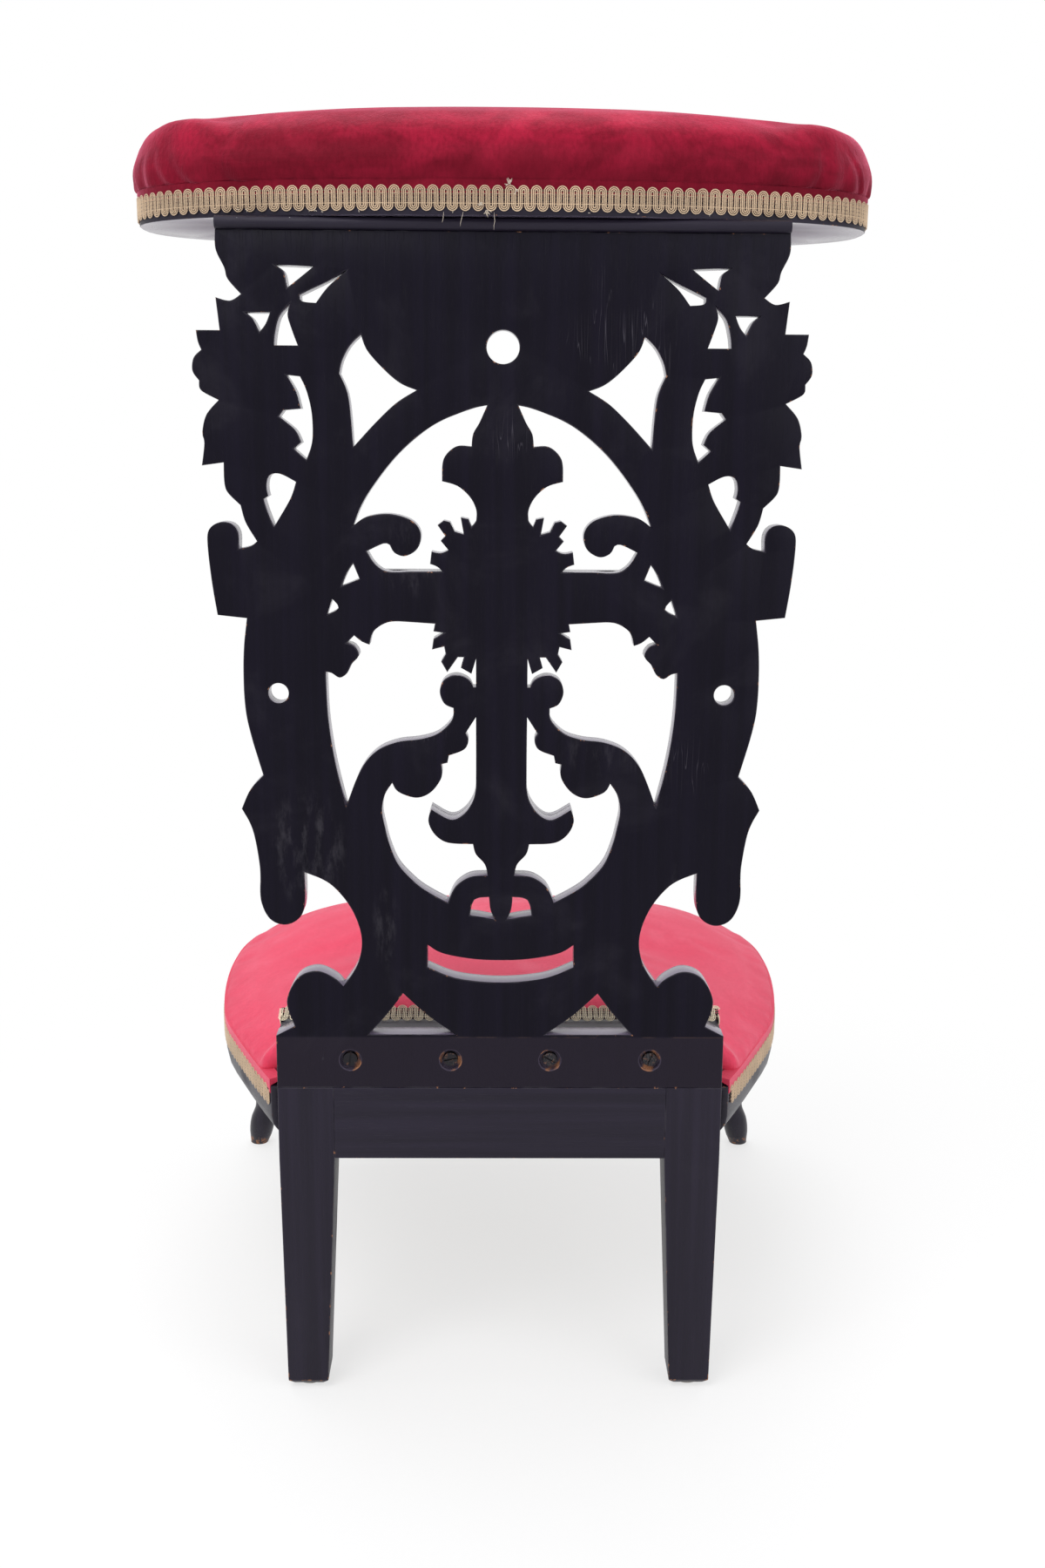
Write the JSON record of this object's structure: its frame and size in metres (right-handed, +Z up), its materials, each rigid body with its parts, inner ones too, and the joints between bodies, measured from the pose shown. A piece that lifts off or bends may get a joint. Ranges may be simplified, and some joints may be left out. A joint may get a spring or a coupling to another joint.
{
  "type": "prie-dieu chair",
  "caption": "Black prie-dieu chair with a pierced fretwork back and cross, a padded crimson armrest and a low stuffed kneeler seat edged with gimp.",
  "frame": {"origin": "centre of the chair's footprint box on the floor", "axes": "+Z up, +X to the right hand of someone kneeling on the seat, +Y from the seat towards the fret back"},
  "size_m": [0.492, 0.4714, 0.886],
  "materials": {
    "black_wood": "ebonised and polished, worn",
    "pale_wood": "plain beech",
    "seat_cloth": "smooth crimson velvet, faded",
    "arm_velvet": "deep crimson velvet",
    "gimp_braid": "woven braid",
    "webbing": "jute webbing",
    "hessian_cloth": "loose jute weave",
    "dark_steel": "blackened steel",
    "glide_steel": "dull steel"
  },
  "bodies": {
    "root": {"fret_back": "black_wood", "front_cross": "black_wood", "rear_leg_left": "black_wood", "rear_leg_right": "black_wood", "rear_rail": "black_wood", "rear_batten": "black_wood", "seat_rail_left": "black_wood", "seat_rail_right": "black_wood", "front_rail": "black_wood", "front_leg_left": "black_wood", "front_leg_right": "black_wood", "leg_glides": "glide_steel", "dowels": "pale_wood", "back_screws": "dark_steel", "webbing_long": "webbing", "webbing_cross": "webbing", "hessian": "hessian_cloth", "seat_cushion": "seat_cloth", "seat_gimp": "gimp_braid", "rear_gimp": "gimp_braid", "armrest_cleat": "black_wood", "cleat_screws": "dark_steel", "armrest_board": "black_wood", "armrest_cushion": "arm_velvet", "armrest_gimp": "gimp_braid"}
  },
  "joints": []
}
